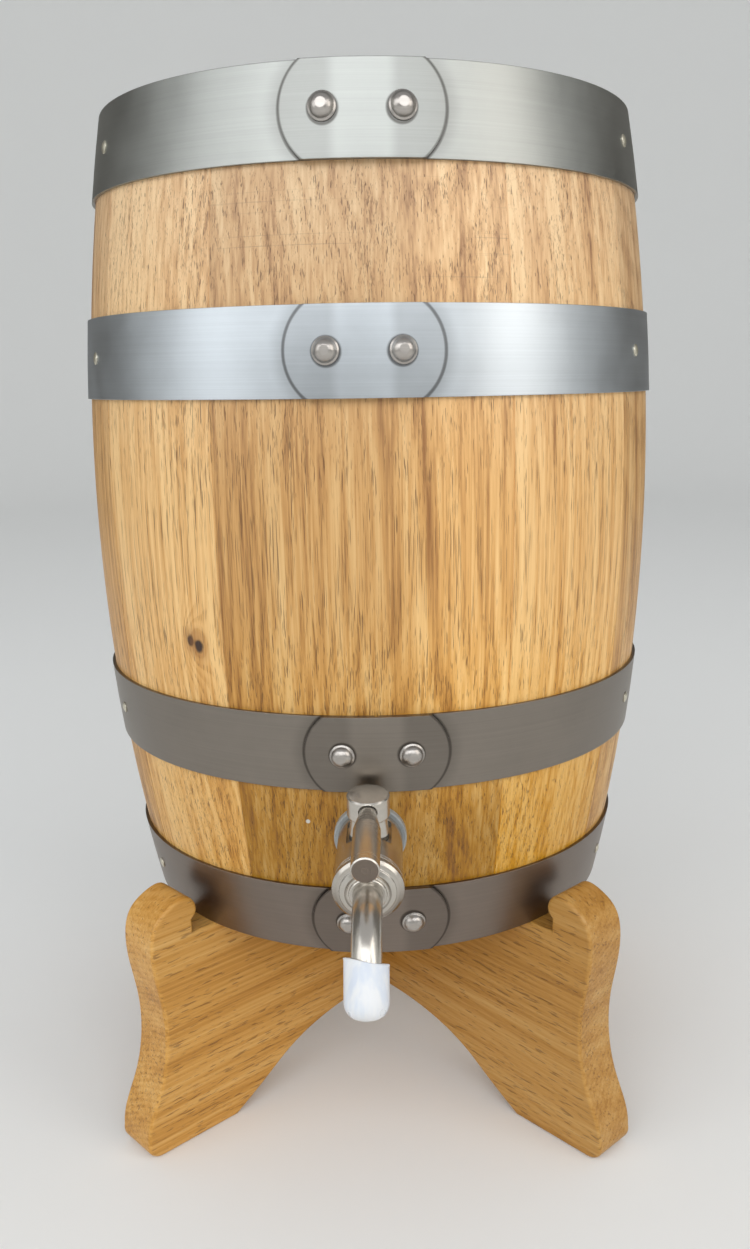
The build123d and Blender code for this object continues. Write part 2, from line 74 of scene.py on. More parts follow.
class Surface:
    """A node material. Its methods take numbers or sockets and give back sockets."""

    def __init__(self, name):
        self.material = bpy.data.materials.new(name)
        self.material.use_nodes = True
        self.tree = self.material.node_tree
        self.shader = self.tree.nodes["Principled BSDF"]

    def add(self, kind, **settings):
        node = self.tree.nodes.new(kind)
        for name, value in settings.items():
            setattr(node, name, value)
        return node

    def feed(self, socket, value):
        if isinstance(value, bpy.types.NodeSocket):
            self.tree.links.new(value, socket)
        else:
            socket.default_value = value

    def set(self, **values):
        """Set shader inputs; underscores in names stand for spaces."""
        for name, value in values.items():
            self.feed(self.shader.inputs[name.replace("_", " ")], value)

    def math(self, operation, *values, clamp=False):
        node = self.add("ShaderNodeMath", operation=operation, use_clamp=clamp)
        for socket, value in zip(node.inputs, values):
            self.feed(socket, value)
        return node.outputs[0]

    def plus(self, first, second):
        return self.math("ADD", first, second)

    def times(self, first, second):
        return self.math("MULTIPLY", first, second)

    def squares(self, first, second):
        """Sum of the squares of two numbers."""
        return self.plus(self.times(first, first), self.times(second, second))

    def length(self, first, second):
        return self.math("SQRT", self.squares(first, second))

    def vector(self, operation, *values):
        node = self.add("ShaderNodeVectorMath", operation=operation)
        for socket, value in zip(node.inputs, values):
            self.feed(socket, value)
        gives_number = operation in ("DOT_PRODUCT", "LENGTH")
        return node.outputs["Value" if gives_number else "Vector"]

    def combine(self, x, y, z):
        node = self.add("ShaderNodeCombineXYZ")
        for socket, value in zip(node.inputs, (x, y, z)):
            self.feed(socket, value)
        return node.outputs[0]

    def place(self):
        """Position in the frame, on the piece's own rest place."""
        return self.add("ShaderNodeTexCoord").outputs["Object"]

    def noise(self, vector, scale, detail=2.0, roughness=0.5, seed=0.0):
        """Noise between about 0 and 1. scale is (x, y, z), in features a metre."""
        stretched = self.vector("MULTIPLY", vector, scale)
        node = self.add("ShaderNodeTexNoise", noise_dimensions="4D")
        self.feed(node.inputs["Vector"], stretched)
        self.feed(node.inputs["W"], seed)
        self.feed(node.inputs["Scale"], 1.0)
        self.feed(node.inputs["Detail"], detail)
        self.feed(node.inputs["Roughness"], roughness)
        return node.outputs[0]

    def smooth(self, value, low, high, low_out=0.0, high_out=1.0):
        """Soft step between two values."""
        node = self.add("ShaderNodeMapRange", interpolation_type="SMOOTHSTEP")
        for name, number in zip(
            ("Value", "From Min", "From Max", "To Min", "To Max"),
            (value, low, high, low_out, high_out),
        ):
            self.feed(node.inputs[name], number)
        return node.outputs["Result"]

    def mix(self, factor, first, second, blend="MIX"):
        node = self.add("ShaderNodeMix", data_type="RGBA", blend_type=blend)
        self.feed(node.inputs["Factor"], factor)
        self.feed(node.inputs[6], first)
        self.feed(node.inputs[7], second)
        return node.outputs[2]

    def bump(self, height, distance, strength=1.0, normal=None):
        node = self.add("ShaderNodeBump")
        self.feed(node.inputs["Height"], height)
        self.feed(node.inputs["Distance"], distance)
        self.feed(node.inputs["Strength"], strength)
        if normal is not None:
            self.feed(node.inputs["Normal"], normal)
        return node.outputs[0]


def colour(red, green, blue):
    """Display colour, 0 to 255, as a linear colour."""

    def linear(value):
        value = value / 255
        return value / 12.92 if value <= 0.04045 else ((value + 0.055) / 1.055) ** 2.4

    return (linear(red), linear(green), linear(blue), 1.0)


def wood_axes(origin, across, through, along):
    """Axes of a piece of wood: across it, through its thickness and along its grain."""

    def axes(surface):
        place = surface.vector("SUBTRACT", surface.place(), origin)
        return [surface.vector("DOT_PRODUCT", place, line) for line in (across, through, along)]

    return axes


def level_axes(azimuth):
    """Level directions at an azimuth: round the barrel's axis, and away from it."""
    turn = math.radians(azimuth)
    return (math.cos(turn), math.sin(turn), 0), (math.sin(turn), -math.cos(turn), 0)


# ---- Oak -------------------------------------------------------------------------------------

honey_light = colour(228, 188, 130)
honey_mid = colour(202, 152, 90)
honey_dark = colour(146, 98, 50)
pore_brown = colour(82, 48, 22)


def oak(name, axes, pith, seed=0.0, spacing=0.0021, lightness=1.0, warmth=0.0, details=None):
    """Oak cut from a log, so that its rings, pores and fibres run through the whole piece.

    axes gives position across the board, through it and along the grain. pith is the
    log's centre line: its place across and through, and its slope along the grain.
    spacing is the width of a ring in metres. details may hold:
    ring_push, a function that bends the rings; stain_and_shade, a function that paints marks,
    stains and painted light over the wood; pores, their width, length and strength; contrast
    and saturation, both against 1; and painted_shade, how light and how saturated the lower
    end is painted against the middle, as painted shade; the upper end is then also painted
    less saturated, as a painted reflection of the sky.
    """
    details = details or {}
    surface = Surface(name)
    across, through, along = axes(surface)
    grain = surface.combine(across, through, along)
    pith_across, pith_through, slope = pith

    wave = surface.noise(grain, (34, 34, 7), 2.0, 0.5, seed)
    sway = surface.noise(grain, (9, 9, 6), 1.0, 0.5, seed + 5)
    ring_across = surface.plus(surface.plus(across, -pith_across), surface.times(sway, 0.009))
    ring_through = surface.plus(
        surface.plus(through, -pith_through), surface.times(along, slope)
    )
    reach = surface.length(ring_across, ring_through)
    rings = surface.plus(surface.times(reach, 1 / spacing), surface.times(wave, 1.5))
    if "ring_push" in details:
        rings = surface.plus(rings, details["ring_push"](surface, across, along))
    phase = surface.math("FRACT", rings)
    early = surface.times(surface.smooth(phase, 0.0, 0.15), surface.smooth(phase, 0.80, 0.25))
    ring_tone = surface.noise(surface.combine(rings, 0, 0), (0.45, 1, 1), 2.0, 0.6, seed + 2)

    fibre = surface.noise(grain, (1250, 1250, 11), 1.0, 0.5, seed + 7)
    streak = surface.noise(grain, (420, 420, 3.5), 3.0, 0.65, seed + 9)
    lean = surface.plus(across, surface.times(surface.plus(along, 0.1), 0.06))
    band = surface.noise(surface.combine(lean, through, along), (170, 60, 2), 2.0, 0.5, seed + 10)
    cloud = surface.noise(grain, (22, 22, 6), 2.0, 0.5, seed + 11)

    pore_width, pore_length, pore_strength = details.get("pores", (0.00031, 0.0180, 0.68))
    patch = surface.noise(grain, (70, 70, 14), 2.0, 0.5, seed + 17)
    limit = surface.smooth(early, 0.0, 1.0, 0.650, 0.600)
    limit = surface.plus(limit, surface.smooth(patch, 0.35, 0.65, 0.030, -0.025))
    size = (1 / pore_width, 1 / pore_width, 1 / pore_length)
    fine_size = tuple(1.7 * number for number in size)
    pore_noise = surface.noise(grain, size, 1.0, 0.4, seed + 13)
    fine_noise = surface.noise(grain, fine_size, 1.0, 0.4, seed + 14)
    pores = surface.smooth(surface.math("SUBTRACT", pore_noise, limit), 0.0, 0.07)
    fine = surface.smooth(surface.math("SUBTRACT", fine_noise, limit), 0.0, 0.08)
    pores = surface.math("MAXIMUM", pores, surface.times(fine, 0.6))

    dark_share = surface.plus(
        surface.plus(surface.times(early, 0.14), surface.times(streak, 1.20)),
        surface.plus(surface.times(fibre, 1.10), surface.times(ring_tone, 0.30)),
    )
    broad = surface.plus(surface.times(cloud, 0.35), surface.times(band, 1.70))
    dark_share = surface.plus(dark_share, surface.plus(broad, warmth - 2.22))
    dark_share = surface.times(dark_share, details.get("contrast", 1.0))
    body = surface.mix(surface.smooth(dark_share, -0.45, 0.40), honey_light, honey_mid)
    body = surface.mix(surface.smooth(dark_share, 0.15, 0.90), body, honey_dark)
    tone = surface.mix(surface.times(pores, pore_strength), body, pore_brown)
    if "stain_and_shade" in details:
        tone = details["stain_and_shade"](surface, tone, across, along)
    bright = surface.add("ShaderNodeHueSaturation")
    surface.feed(bright.inputs["Color"], tone)
    # Painted shade and painted reflection: the lower end is painted darker and more saturated, as
    # in shade, and the upper end less saturated, as when reflecting the sky.
    if details.get("painted_shade"):
        low_shade, low_saturation = details["painted_shade"]
        saturation = surface.plus(
            surface.smooth(along, -0.11, 0.01, low_saturation - 1, 0.0),
            surface.smooth(along, 0.00, 0.12, 1.02, 0.84),
        )
        surface.feed(bright.inputs["Saturation"], saturation)
        surface.feed(
            bright.inputs["Value"],
            surface.smooth(along, -0.10, -0.03, low_shade * lightness, lightness),
        )
    else:
        surface.feed(bright.inputs["Value"], lightness)
        surface.feed(bright.inputs["Saturation"], details.get("saturation", 1.0))
    surface.set(Base_Color=bright.outputs[0])
    surface.set(Roughness=surface.smooth(streak, 0.2, 0.9, 0.40, 0.54))
    surface.set(Specular_IOR_Level=0.45, Coat_Weight=0.15, Coat_Roughness=0.30)
    relief = surface.plus(surface.times(pores, -1.0), surface.times(fibre, 0.30))
    surface.set(Normal=surface.bump(relief, 0.00014, 0.8))
    return surface.material


# ---- Staves ------------------------------------------------------------------------------------

front_span = 53.0
side_span = 30.0
back_span = (360 - front_span - 2 * side_span) / 9
stave_spans = [front_span, side_span] + [back_span] * 9 + [side_span]
# Two small knots on the stave left of the front one: across, along and size
knot_places = ((0.0131, -0.026, 0.0018), (0.0164, -0.0275, 0.0021))
knot_heart = colour(52, 30, 16)


def knots(surface, across, along):
    """Pushes the rings round the knots."""
    push_rings, push_width, push_length = 2.2, 2.4, 5.0
    push = 0.0
    for knot_across, knot_along, size in knot_places:
        dx = surface.times(surface.plus(across, -knot_across), 1 / (push_width * size))
        dz = surface.times(surface.plus(along, -knot_along), 1 / (push_length * size))
        fade = surface.math("EXPONENT", surface.times(surface.squares(dx, dz), -1.0))
        push = surface.plus(push, surface.times(fade, push_rings))
    return push


def knot_stain(surface, tone, across, along):
    """Darkens the hearts of the knots."""
    for knot_across, knot_along, size in knot_places:
        dx = surface.times(surface.plus(across, -knot_across), 1 / size)
        dz = surface.times(surface.plus(along, -knot_along), 1 / (1.35 * size))
        ragged = surface.noise(surface.combine(across, 0, along), (700, 1, 500), 2.0)
        reach = surface.plus(surface.length(dx, dz), surface.times(ragged, 0.5))
        tone = surface.mix(surface.smooth(reach, 3.0, 1.0, 0.0, 0.45), tone, honey_dark)
        tone = surface.mix(surface.smooth(reach, 1.25, 0.75), tone, knot_heart)
    return tone


tool_mark_tone = colour(112, 88, 64)
# Painted light: how much lighter the front stave's right half is painted
painted_light_gain = (1.28, 1.30, 1.32, 1.0)
speck_across, speck_along, speck_size = -0.0200, -0.0836, 0.0007
speck_tone = colour(240, 236, 226)


def front_marks_and_painted_light(surface, tone, across, along):
    """Faint tool marks across the grain near the upper hoops, painted light that makes the
    right half lighter except at the bottom, and one pale speck left of the tap."""
    flat = surface.combine(across, 0, along)
    marks = surface.noise(flat, (7, 1, 1500), 1.0, 0.4, 31)
    where = surface.noise(flat, (45, 1, 60), 1.0, 0.5, 33)
    line = surface.times(surface.smooth(marks, 0.62, 0.72), surface.smooth(where, 0.40, 0.6))
    line = surface.times(line, surface.smooth(along, 0.045, 0.070))
    tone = surface.mix(surface.times(line, 0.40), tone, tool_mark_tone)
    # Painted light: the right half of the front stave is painted lighter, except low down.
    painted_light_side = surface.times(
        surface.smooth(across, 0.002, 0.030), surface.smooth(along, -0.090, -0.060)
    )
    tone = surface.mix(painted_light_side, tone, painted_light_gain, "MULTIPLY")
    dx = surface.times(surface.plus(across, -speck_across), 1 / speck_size)
    dz = surface.times(surface.plus(along, -speck_along), 1 / speck_size)
    speck = surface.smooth(surface.length(dx, dz), 1.2, 0.8)
    return surface.mix(speck, tone, speck_tone)


def wear(node, material):
    """Give a node its one material."""
    nodes[node].data.materials.clear()
    nodes[node].data.materials.append(material)


# Cut of each stave: the log's centre line, lightness and warmth. The three at the front
# are chosen, the rest are drawn.
stave_cuts = {
    1: ((0.016, 0.058, 0.030), 0.93, 0.04),
    2: ((0.045, 0.040, 0.020), 1.12, -0.14),
    12: ((-0.060, 0.030, 0.012), 1.08, -0.22),
}
# Painted shade: how light and how saturated the lower ends are painted, against the middle; the
# front stave's darkest lower end stands in for shade under the tap
low_shade_looks = {1: (0.64, 1.20), 2: (0.80, 1.22)}
stave_details = {
    1: {"stain_and_shade": front_marks_and_painted_light},
    12: {"ring_push": knots, "stain_and_shade": knot_stain},
}
stave_random = random.Random(4)
azimuth = -front_span / 2
for number, span in enumerate(stave_spans, 1):
    middle = azimuth + span / 2
    azimuth = azimuth + span
    drawn_pith = (
        stave_random.uniform(-0.05, 0.05),
        stave_random.uniform(0.03, 0.07),
        stave_random.uniform(-0.05, 0.05),
    )
    drawn = (drawn_pith, stave_random.uniform(0.92, 1.05), stave_random.uniform(-0.06, 0.10))
    pith, lightness, warmth = stave_cuts.get(number, drawn)
    details = dict(stave_details.get(number, {}), painted_shade=low_shade_looks.get(number, (0.92, 1.10)))
    name = f"stave_{number:02d}"
    axes = wood_axes((0, axis_y, belly_height), *level_axes(middle), (0, 0, 1))
    finish = oak("oak_" + name, axes, pith, 10.0 * number, 0.0021, lightness, warmth, details)
    wear(name, finish)


# Heads: grain along X, through the head along Z
head_axes = wood_axes((0, axis_y, 0), (0, 1, 0), (0, 0, 1), (1, 0, 0))
for end in ("bottom", "top"):
    for seed, board in enumerate(("front", "middle", "back")):
        name = f"head_{end}_{board}"
        pith = (0.02 * seed - 0.01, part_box(name)[0].z - 0.05, 0.04)
        wear(name, oak("oak_" + name, head_axes, pith, 200 + seed))


# Crack on the left front lobe: direction (radians) and place it is measured along, place
# along the board and slope; then the heights, from the ground, at which it fades in
crack_turn, crack_side, crack_along, crack_slope = 0.8, 0.0215, 0.1115, 0.7
lobe_low, lobe_high = 0.084, 0.088
crack_tone = colour(40, 26, 18)


def lobe_mark(surface, tone, across, along):
    """Small dark crack on top of the left front lobe."""
    ragged = surface.noise(surface.combine(across, 0, along), (500, 1, 500), 2.0)
    facing = (math.cos(crack_turn), -math.sin(crack_turn), 0)
    side = surface.vector("DOT_PRODUCT", surface.place(), facing)
    bend = surface.math("ABSOLUTE", surface.plus(side, -crack_side))
    line = surface.plus(surface.plus(along, -crack_along), surface.times(bend, -crack_slope))
    off_line = surface.math("ABSOLUTE", line)
    near = surface.smooth(bend, 0.0034, 0.0022)
    thin = surface.smooth(off_line, 0.0009, 0.0003)
    on_top = surface.smooth(across, lobe_high - 0.002, lobe_high)
    mark = surface.times(surface.times(near, thin), on_top)
    halo = surface.smooth(off_line, 0.004, 0.0, 0.0, 0.3)
    halo = surface.times(surface.times(halo, ragged), surface.smooth(bend, 0.006, 0.002))
    halo = surface.times(halo, surface.smooth(across, lobe_low, lobe_high))
    tone = surface.mix(halo, tone, pore_brown)
    return surface.mix(mark, tone, crack_tone)


for name, azimuth, pith, seed, lightness in (
    ("stand_board_left", -45.8, (-0.03, 0.05, 0.22), 301, 0.96),
    ("stand_board_right", 44.2, (-0.05, 0.06, -0.20), 302, 0.76),
):
    details = {"saturation": 1.12, "pores": (0.0008, 0.0065, 0.46), "contrast": 0.6}
    if name == "stand_board_left":
        details["stain_and_shade"] = lobe_mark
    through, along = level_axes(azimuth)
    axes = wood_axes((0, axis_y, 0), (0, 0, 1), through, along)
    wear(name, oak("oak_" + name, axes, pith, seed, 0.0022, lightness, 0.16, details))

# Bung and dowels: grain upright
upright_axes = wood_axes((0, axis_y, 0), (1, 0, 0), (0, 1, 0), (0, 0, 1))
for name, lightness in (("bung", 1.02), ("head_dowels_bottom", 1.05), ("head_dowels_top", 1.05)):
    wear(name, oak("oak_" + name, upright_axes, (0.04, 0.02, 0.02), 400, 0.0018, lightness))


# ---- Steel -------------------------------------------------------------------------------------

edge_radius = 0.00035


def steel(
    name,
    base,
    point,
    axis,
    roughness=0.3,
    grain=1.0,
    smudge=0.10,
    streaks=0.5,
    stain_and_shade=None,
    metallic=1.0,
):
    """Steel with tool marks that run round an axis through a point.

    roughness, grain (how strong the marks are), smudge (how blotchy) and streaks (how
    much the shine is drawn out across the marks) run from 0 to about 1. A little less
    than 1 for metallic stands for the haze of very fine scratches.
    """
    surface = Surface(name)
    axis = tuple(axis)
    place = surface.place()
    from_point = surface.vector("SUBTRACT", place, tuple(point))
    along = surface.vector("DOT_PRODUCT", from_point, axis)
    along_axis = surface.vector("MULTIPLY", surface.combine(along, along, along), axis)
    outward = surface.vector("SUBTRACT", from_point, along_axis)
    reach = surface.vector("LENGTH", outward)
    lane = surface.plus(along, reach)
    drawn = surface.vector("MULTIPLY", from_point, (16, 16, 16))
    offset = surface.vector("ADD", drawn, surface.combine(surface.times(lane, 5200), 0, 0))
    fine = surface.noise(offset, (1, 1, 1), 2.0, 0.6, 3)
    offset = surface.vector("ADD", drawn, surface.combine(surface.times(lane, 900), 0, 0))
    coarse = surface.noise(offset, (1, 1, 1), 2.0, 0.5, 5)
    cloud = surface.noise(place, (45, 45, 45), 4.0, 0.6, 7)
    marks = surface.plus(surface.times(fine, 0.6), surface.times(coarse, 0.4))
    tone = surface.plus(
        surface.times(surface.plus(marks, -0.5), 0.5 * grain),
        surface.times(surface.plus(cloud, -0.5), 2 * smudge),
    )
    # The given function paints painted shade over the base colour.
    painted = base if stain_and_shade is None else stain_and_shade(surface, base)
    bright = surface.add("ShaderNodeHueSaturation")
    surface.feed(bright.inputs["Color"], painted)
    surface.feed(bright.inputs["Value"], surface.plus(tone, 1.0))
    surface.set(Base_Color=bright.outputs[0])
    surface.set(Metallic=metallic, Anisotropic=streaks)
    rough = surface.plus(surface.times(cloud, 0.16), surface.times(marks, 0.10))
    surface.set(Roughness=surface.plus(rough, roughness - 0.13))
    rounded = surface.add("ShaderNodeBevel", samples=4)
    rounded.inputs["Radius"].default_value = edge_radius
    surface.set(Normal=surface.bump(marks, 0.00003, 0.5 * grain, rounded.outputs[0]))
    tool_line = surface.vector("CROSS_PRODUCT", axis, outward)
    turned = surface.add(
        "ShaderNodeVectorTransform", vector_type="VECTOR", convert_from="OBJECT", convert_to="WORLD"
    )
    surface.feed(turned.inputs[0], surface.vector("NORMALIZE", tool_line))
    surface.set(Tangent=turned.outputs[0])
    return surface.material


# Joining plates: radius of their round ends, rivets' place and size, and how wide and
# strong the painted shade is: the dark line where a plate ends, the shade beside it and the rings
plate_end_radius = 0.01637
rivet_offset = 0.0107
rivet_radius = 0.0039
line_half_width = 0.0010
tint_reach, tint_strength = 0.005, 0.22
line_strength, ring_strength = 0.70, 0.75
plate_shade_tone = colour(52, 46, 42)


def plate_painted_shade(hoop):
    """Painted shade: a dark line where a hoop's plate ends, a faint shade beside it and a dark ring
    round each rivet.
    """
    low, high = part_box("hoop_plate_" + hoop)
    middle = (low + high) / 2
    arc_offset = (high.x - low.x) / 2 - plate_end_radius

    def stain_and_shade(surface, base):
        place = surface.vector("SUBTRACT", surface.place(), (middle.x, axis_y, middle.z))
        x = surface.vector("DOT_PRODUCT", place, (1, 0, 0))
        z = surface.vector("DOT_PRODUCT", place, (0, 0, 1))
        back = surface.vector("DOT_PRODUCT", place, (0, 1, 0))
        side = surface.math("ABSOLUTE", x)
        edge = surface.plus(
            surface.length(surface.plus(side, -arc_offset), z), -plate_end_radius
        )
        at_end = surface.smooth(side, arc_offset, arc_offset + 0.004)
        line = surface.smooth(surface.math("ABSOLUTE", edge), line_half_width, 0.0002)
        line = surface.times(surface.times(line, at_end), line_strength)
        tint = surface.times(surface.smooth(edge, tint_reach, 0.0), tint_strength)
        rivet = surface.plus(
            surface.length(surface.plus(side, -rivet_offset), z), -rivet_radius
        )
        ring = surface.smooth(surface.math("ABSOLUTE", rivet), 0.0009, 0.0001)
        dark = surface.math("MAXIMUM", line, surface.times(ring, ring_strength))
        dark = surface.math("MAXIMUM", dark, surface.times(tint, at_end))
        dark = surface.times(dark, surface.smooth(back, 0.0, -0.01))
        return surface.mix(dark, base, plate_shade_tone)

    return stain_and_shade


barrel_point, barrel_line = (0, axis_y, belly_height), (0, 0, 1)
# Painted light: one steel is given a darker base colour on the lower two hoops and a lighter one on
# the upper two, standing in for the dark ground and bright sky they reflect.
hoop_painted_light_tones = {
    "bottom": colour(132, 121, 112),
    "lower": colour(136, 128, 119),
    "upper": colour(192, 197, 201),
    "top": colour(160, 161, 157),
}
for hoop, tone in hoop_painted_light_tones.items():
    finish = steel(
        "steel_hoop_" + hoop,
        tone,
        barrel_point,
        barrel_line,
        roughness=0.36,
        grain=0.7,
        smudge=0.14,
        streaks=0.4,
        stain_and_shade=plate_painted_shade(hoop),
    )
    wear("hoop_" + hoop, finish)
    wear("hoop_plate_" + hoop, finish)

# Tap: distances from the hub's centre, along the hub's axis for the rod's height and along
# the tap for the rest; the cap's end is measured from the spout's corner
tap_tone = colour(196, 190, 181)
rod_height = 0.0182
rod_end_distance = 0.0377
# Painted shade for the rod's faced end
rod_end_shade_tone = colour(122, 110, 100)
spout_corner_distance = 0.0404
cap_end_distance = 0.02395
spout_lean = math.radians(28)
nose_low, nose_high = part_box("tap_nose")
nose_radius = (nose_high.x - nose_low.x) / 2
# Painted shade for the nose's edge, low side and groove
nose_shade_tone = colour(96, 82, 70)
rod_point = hub_place + hub_axis * rod_height
spout_line = Vector((0, -math.sin(spout_lean), -math.cos(spout_lean)))
spout_point = hub_place + tap_out * spout_corner_distance


def painted_rod_end_shade(surface, base):
    """Painted shade: the rod's faced end is painted darker than its sides, standing in for the
    darker reflection it shows.
    """
    from_hub = surface.vector("SUBTRACT", surface.place(), tuple(rod_point))
    along = surface.vector("DOT_PRODUCT", from_hub, tuple(tap_out))
    end = surface.smooth(along, rod_end_distance - 0.00018, rod_end_distance - 0.00006)
    return surface.mix(end, base, rod_end_shade_tone)


def painted_nose_shade(surface, base):
    """Painted shade: the nose is painted darker towards its edge, most of all low down, and along
    one groove, standing in for the dark surroundings it reflects.
    """
    from_hub = surface.vector("SUBTRACT", surface.place(), tuple(hub_place))
    along = surface.vector("DOT_PRODUCT", from_hub, tuple(tap_out))
    along_tap = surface.vector("MULTIPLY", surface.combine(along, along, along), tuple(tap_out))
    across = surface.vector("SUBTRACT", from_hub, along_tap)
    reach = surface.times(surface.vector("LENGTH", across), 1 / nose_radius)
    height = surface.times(surface.vector("DOT_PRODUCT", across, (0, 0, 1)), 1 / nose_radius)
    edge = surface.smooth(reach, 0.70, 0.90)
    low = surface.smooth(height, 0.35, -0.45)
    off_groove = surface.math("ABSOLUTE", surface.plus(reach, -0.62))
    groove = surface.smooth(off_groove, 0.0004 / nose_radius, 0.0001 / nose_radius)
    dark = surface.times(edge, surface.plus(surface.times(low, 0.45), 0.20))
    dark = surface.math("MAXIMUM", dark, surface.times(groove, 0.45))
    return surface.mix(dark, base, nose_shade_tone)


haze = 0.93
turned_finish = steel(
    "steel_turned", tap_tone, hub_place, tap_out, 0.23, 1.0, 0.07, 0.6, metallic=haze
)
nose_finish = steel(
    "steel_nose", tap_tone, hub_place, tap_out, 0.21, 1.0, 0.07, 0.6, painted_nose_shade, haze
)
rod_finish = steel(
    "steel_rod", tap_tone, rod_point, tap_out, 0.27, 1.0, 0.06, 0.7, painted_rod_end_shade, haze
)
hub_finish = steel(
    "steel_hub", tap_tone, hub_place, hub_axis, 0.21, 1.2, 0.06, 0.7, metallic=haze
)
spout_finish = steel(
    "steel_spout", tap_tone, spout_point, spout_line, 0.24, 0.4, 0.05, 0.4, metallic=haze
)
for name, finish in (
    ("hoop_rivets", steel("steel_rivets", colour(176, 170, 164), barrel_point, barrel_line, 0.30)),
    ("hoop_nails", steel("steel_nails", colour(214, 208, 190), barrel_point, barrel_line, 0.34)),
    ("tap_body", turned_finish),
    ("tap_nose", nose_finish),
    ("tap_lever_rod", rod_finish),
    ("tap_lever_hub", hub_finish),
    ("tap_valve_plug", steel("steel_plug", tap_tone, hub_place, hub_axis, 0.24)),
    ("spout_tube", spout_finish),
):
    wear(name, finish)


# ---- Silicone and rubber ---------------------------------------------------------------------


def silicone(name, tone, shade, clear):
    """Milky silicone, clouded between two tones. clear is the share of light let through."""
    surface = Surface(name)
    place = surface.place()
    upright = surface.noise(place, (330, 330, 45), 2.0, 0.5, 3)
    cloud = surface.noise(place, (160, 160, 160), 2.0, 0.5, 8)
    surface.set(Base_Color=surface.mix(surface.smooth(upright, 0.35, 0.65), shade, tone))
    surface.set(Roughness=surface.plus(surface.times(cloud, 0.20), 0.20))
    surface.set(IOR=1.41, Transmission_Weight=clear)
    surface.set(Subsurface_Weight=0.35, Subsurface_Radius=(0.003, 0.003, 0.003))
    return surface.material


def smooth_object(name, shape):
    """A smooth-shaded object made from a bmesh."""
    bmesh.ops.recalc_face_normals(shape, faces=shape.faces)
    mesh = bpy.data.meshes.new(name)
    shape.to_mesh(mesh)
    shape.free()
    for face in mesh.polygons:
        face.use_smooth = True
    made = bpy.data.objects.new(name, mesh)
    bpy.context.scene.collection.objects.link(made)
    return made


# Moulded cap; heights are from its closed end, and the rim's slope is a fall per width
cap_segments, cap_dome_steps, cap_wall_steps = 72, 10, 6
cap_radius, cap_lip_radius, cap_bore_radius = 0.00638, 0.00655, 0.0050
cap_lip_width = 0.0003
cap_dome_height, cap_floor, cap_bore_dome = 0.0052, 0.0012, 0.0024
cap_rim_height, cap_rim_slope, cap_rim_wave = 0.0162, 0.165, 0.00012


def dome_rings(radius, low, height):
    """Rings of a dome from its middle outwards: radius, height and no share of the rim."""
    rings = []
    for step in range(1, cap_dome_steps + 1):
        turn = math.radians(90 * step / cap_dome_steps)
        rings.append((radius * math.sin(turn) ** 0.8, low + height * (1 - math.cos(turn)), 0.0))
    return rings


def cap_rings():
    """The cap's rings, from the middle of its end, over the rim and down into the bore.

    Each is a radius, a height, and how far it rises from there towards the slanted rim.
    """
    shares = [step / (cap_wall_steps + 0.5) for step in range(cap_wall_steps + 1)]
    bore_start = cap_floor + cap_bore_dome
    rings = dome_rings(cap_radius, 0.0, cap_dome_height)
    rings += [(cap_radius, cap_dome_height, share) for share in shares[1:]]
    rings.append((cap_lip_radius, cap_dome_height, 0.985))
    rings.append((cap_lip_radius - cap_lip_width, cap_dome_height, 1.0))
    rings.append((cap_bore_radius, cap_dome_height, 0.995))
    rings += [(cap_bore_radius, bore_start, share) for share in reversed(shares)]
    rings += dome_rings(cap_bore_radius, cap_floor, cap_bore_dome)[-2::-1]
    return rings


def make_cap(end, down):
    """Moulded spout cap: round closed end, straight sides and a slanted, slightly wavy rim.

    end is the middle of the closed end and down the way it points, along the spout.
    """
    side = Vector((1, 0, 0))
    depth = down.cross(side)
    shape = bmesh.new()
    loops = []
    for radius, low, share in cap_rings():
        loop = []
        for segment in range(cap_segments):
            turn = math.tau * segment / cap_segments
            x, y = radius * math.cos(turn), radius * math.sin(turn)
            rim = cap_rim_height - cap_rim_slope * x + cap_rim_wave * math.sin(3 * turn + 1)
            height = low + share * (rim - low)
            loop.append(shape.verts.new(end + side * x + depth * y - down * height))
        loops.append(loop)
    for first, second in zip(loops, loops[1:]):
        for here in range(cap_segments):
            there = (here + 1) % cap_segments
            shape.faces.new((first[here], first[there], second[there], second[here]))
    for loop, middle in ((loops[0], end), (loops[-1], end - down * cap_floor)):
        centre = shape.verts.new(middle)
        for here in range(cap_segments):
            shape.faces.new((loop[here], loop[(here + 1) % cap_segments], centre))
    cap = smooth_object("moulded_cap", shape)
    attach(cap, "spout_cap")
    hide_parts("spout_cap")
    return cap


def rubber(name, tone):
    """Dull dark rubber with a fine grain."""
    surface = Surface(name)
    grain = surface.noise(surface.place(), (2500, 2500, 2500), 2.0, 0.5, 3)
    surface.set(Base_Color=surface.mix(grain, tone, colour(60, 60, 60)))
    surface.set(Roughness=surface.plus(surface.times(grain, 0.3), 0.4))
    surface.set(Normal=surface.bump(grain, 0.0001, 0.4))
    return surface.material


cap_silicone = silicone("silicone_cap", colour(252, 253, 255), colour(232, 238, 250), 0.22)
moulded_cap = make_cap(spout_point + spout_line * cap_end_distance, spout_line)
moulded_cap.data.materials.append(cap_silicone)
for name, finish in (
    ("tap_washer", silicone("silicone_washer", colour(166, 169, 168), colour(146, 149, 150), 0.10)),
    ("spout_cap", cap_silicone),
    ("spout_seal", rubber("rubber_seal", colour(24, 24, 24))),
    ("valve_orings", rubber("rubber_orings", colour(24, 24, 24))),
):
    wear(name, finish)


# ---- Floor, light and camera -------------------------------------------------------------------


backdrop_tone = colour(238, 238, 236)


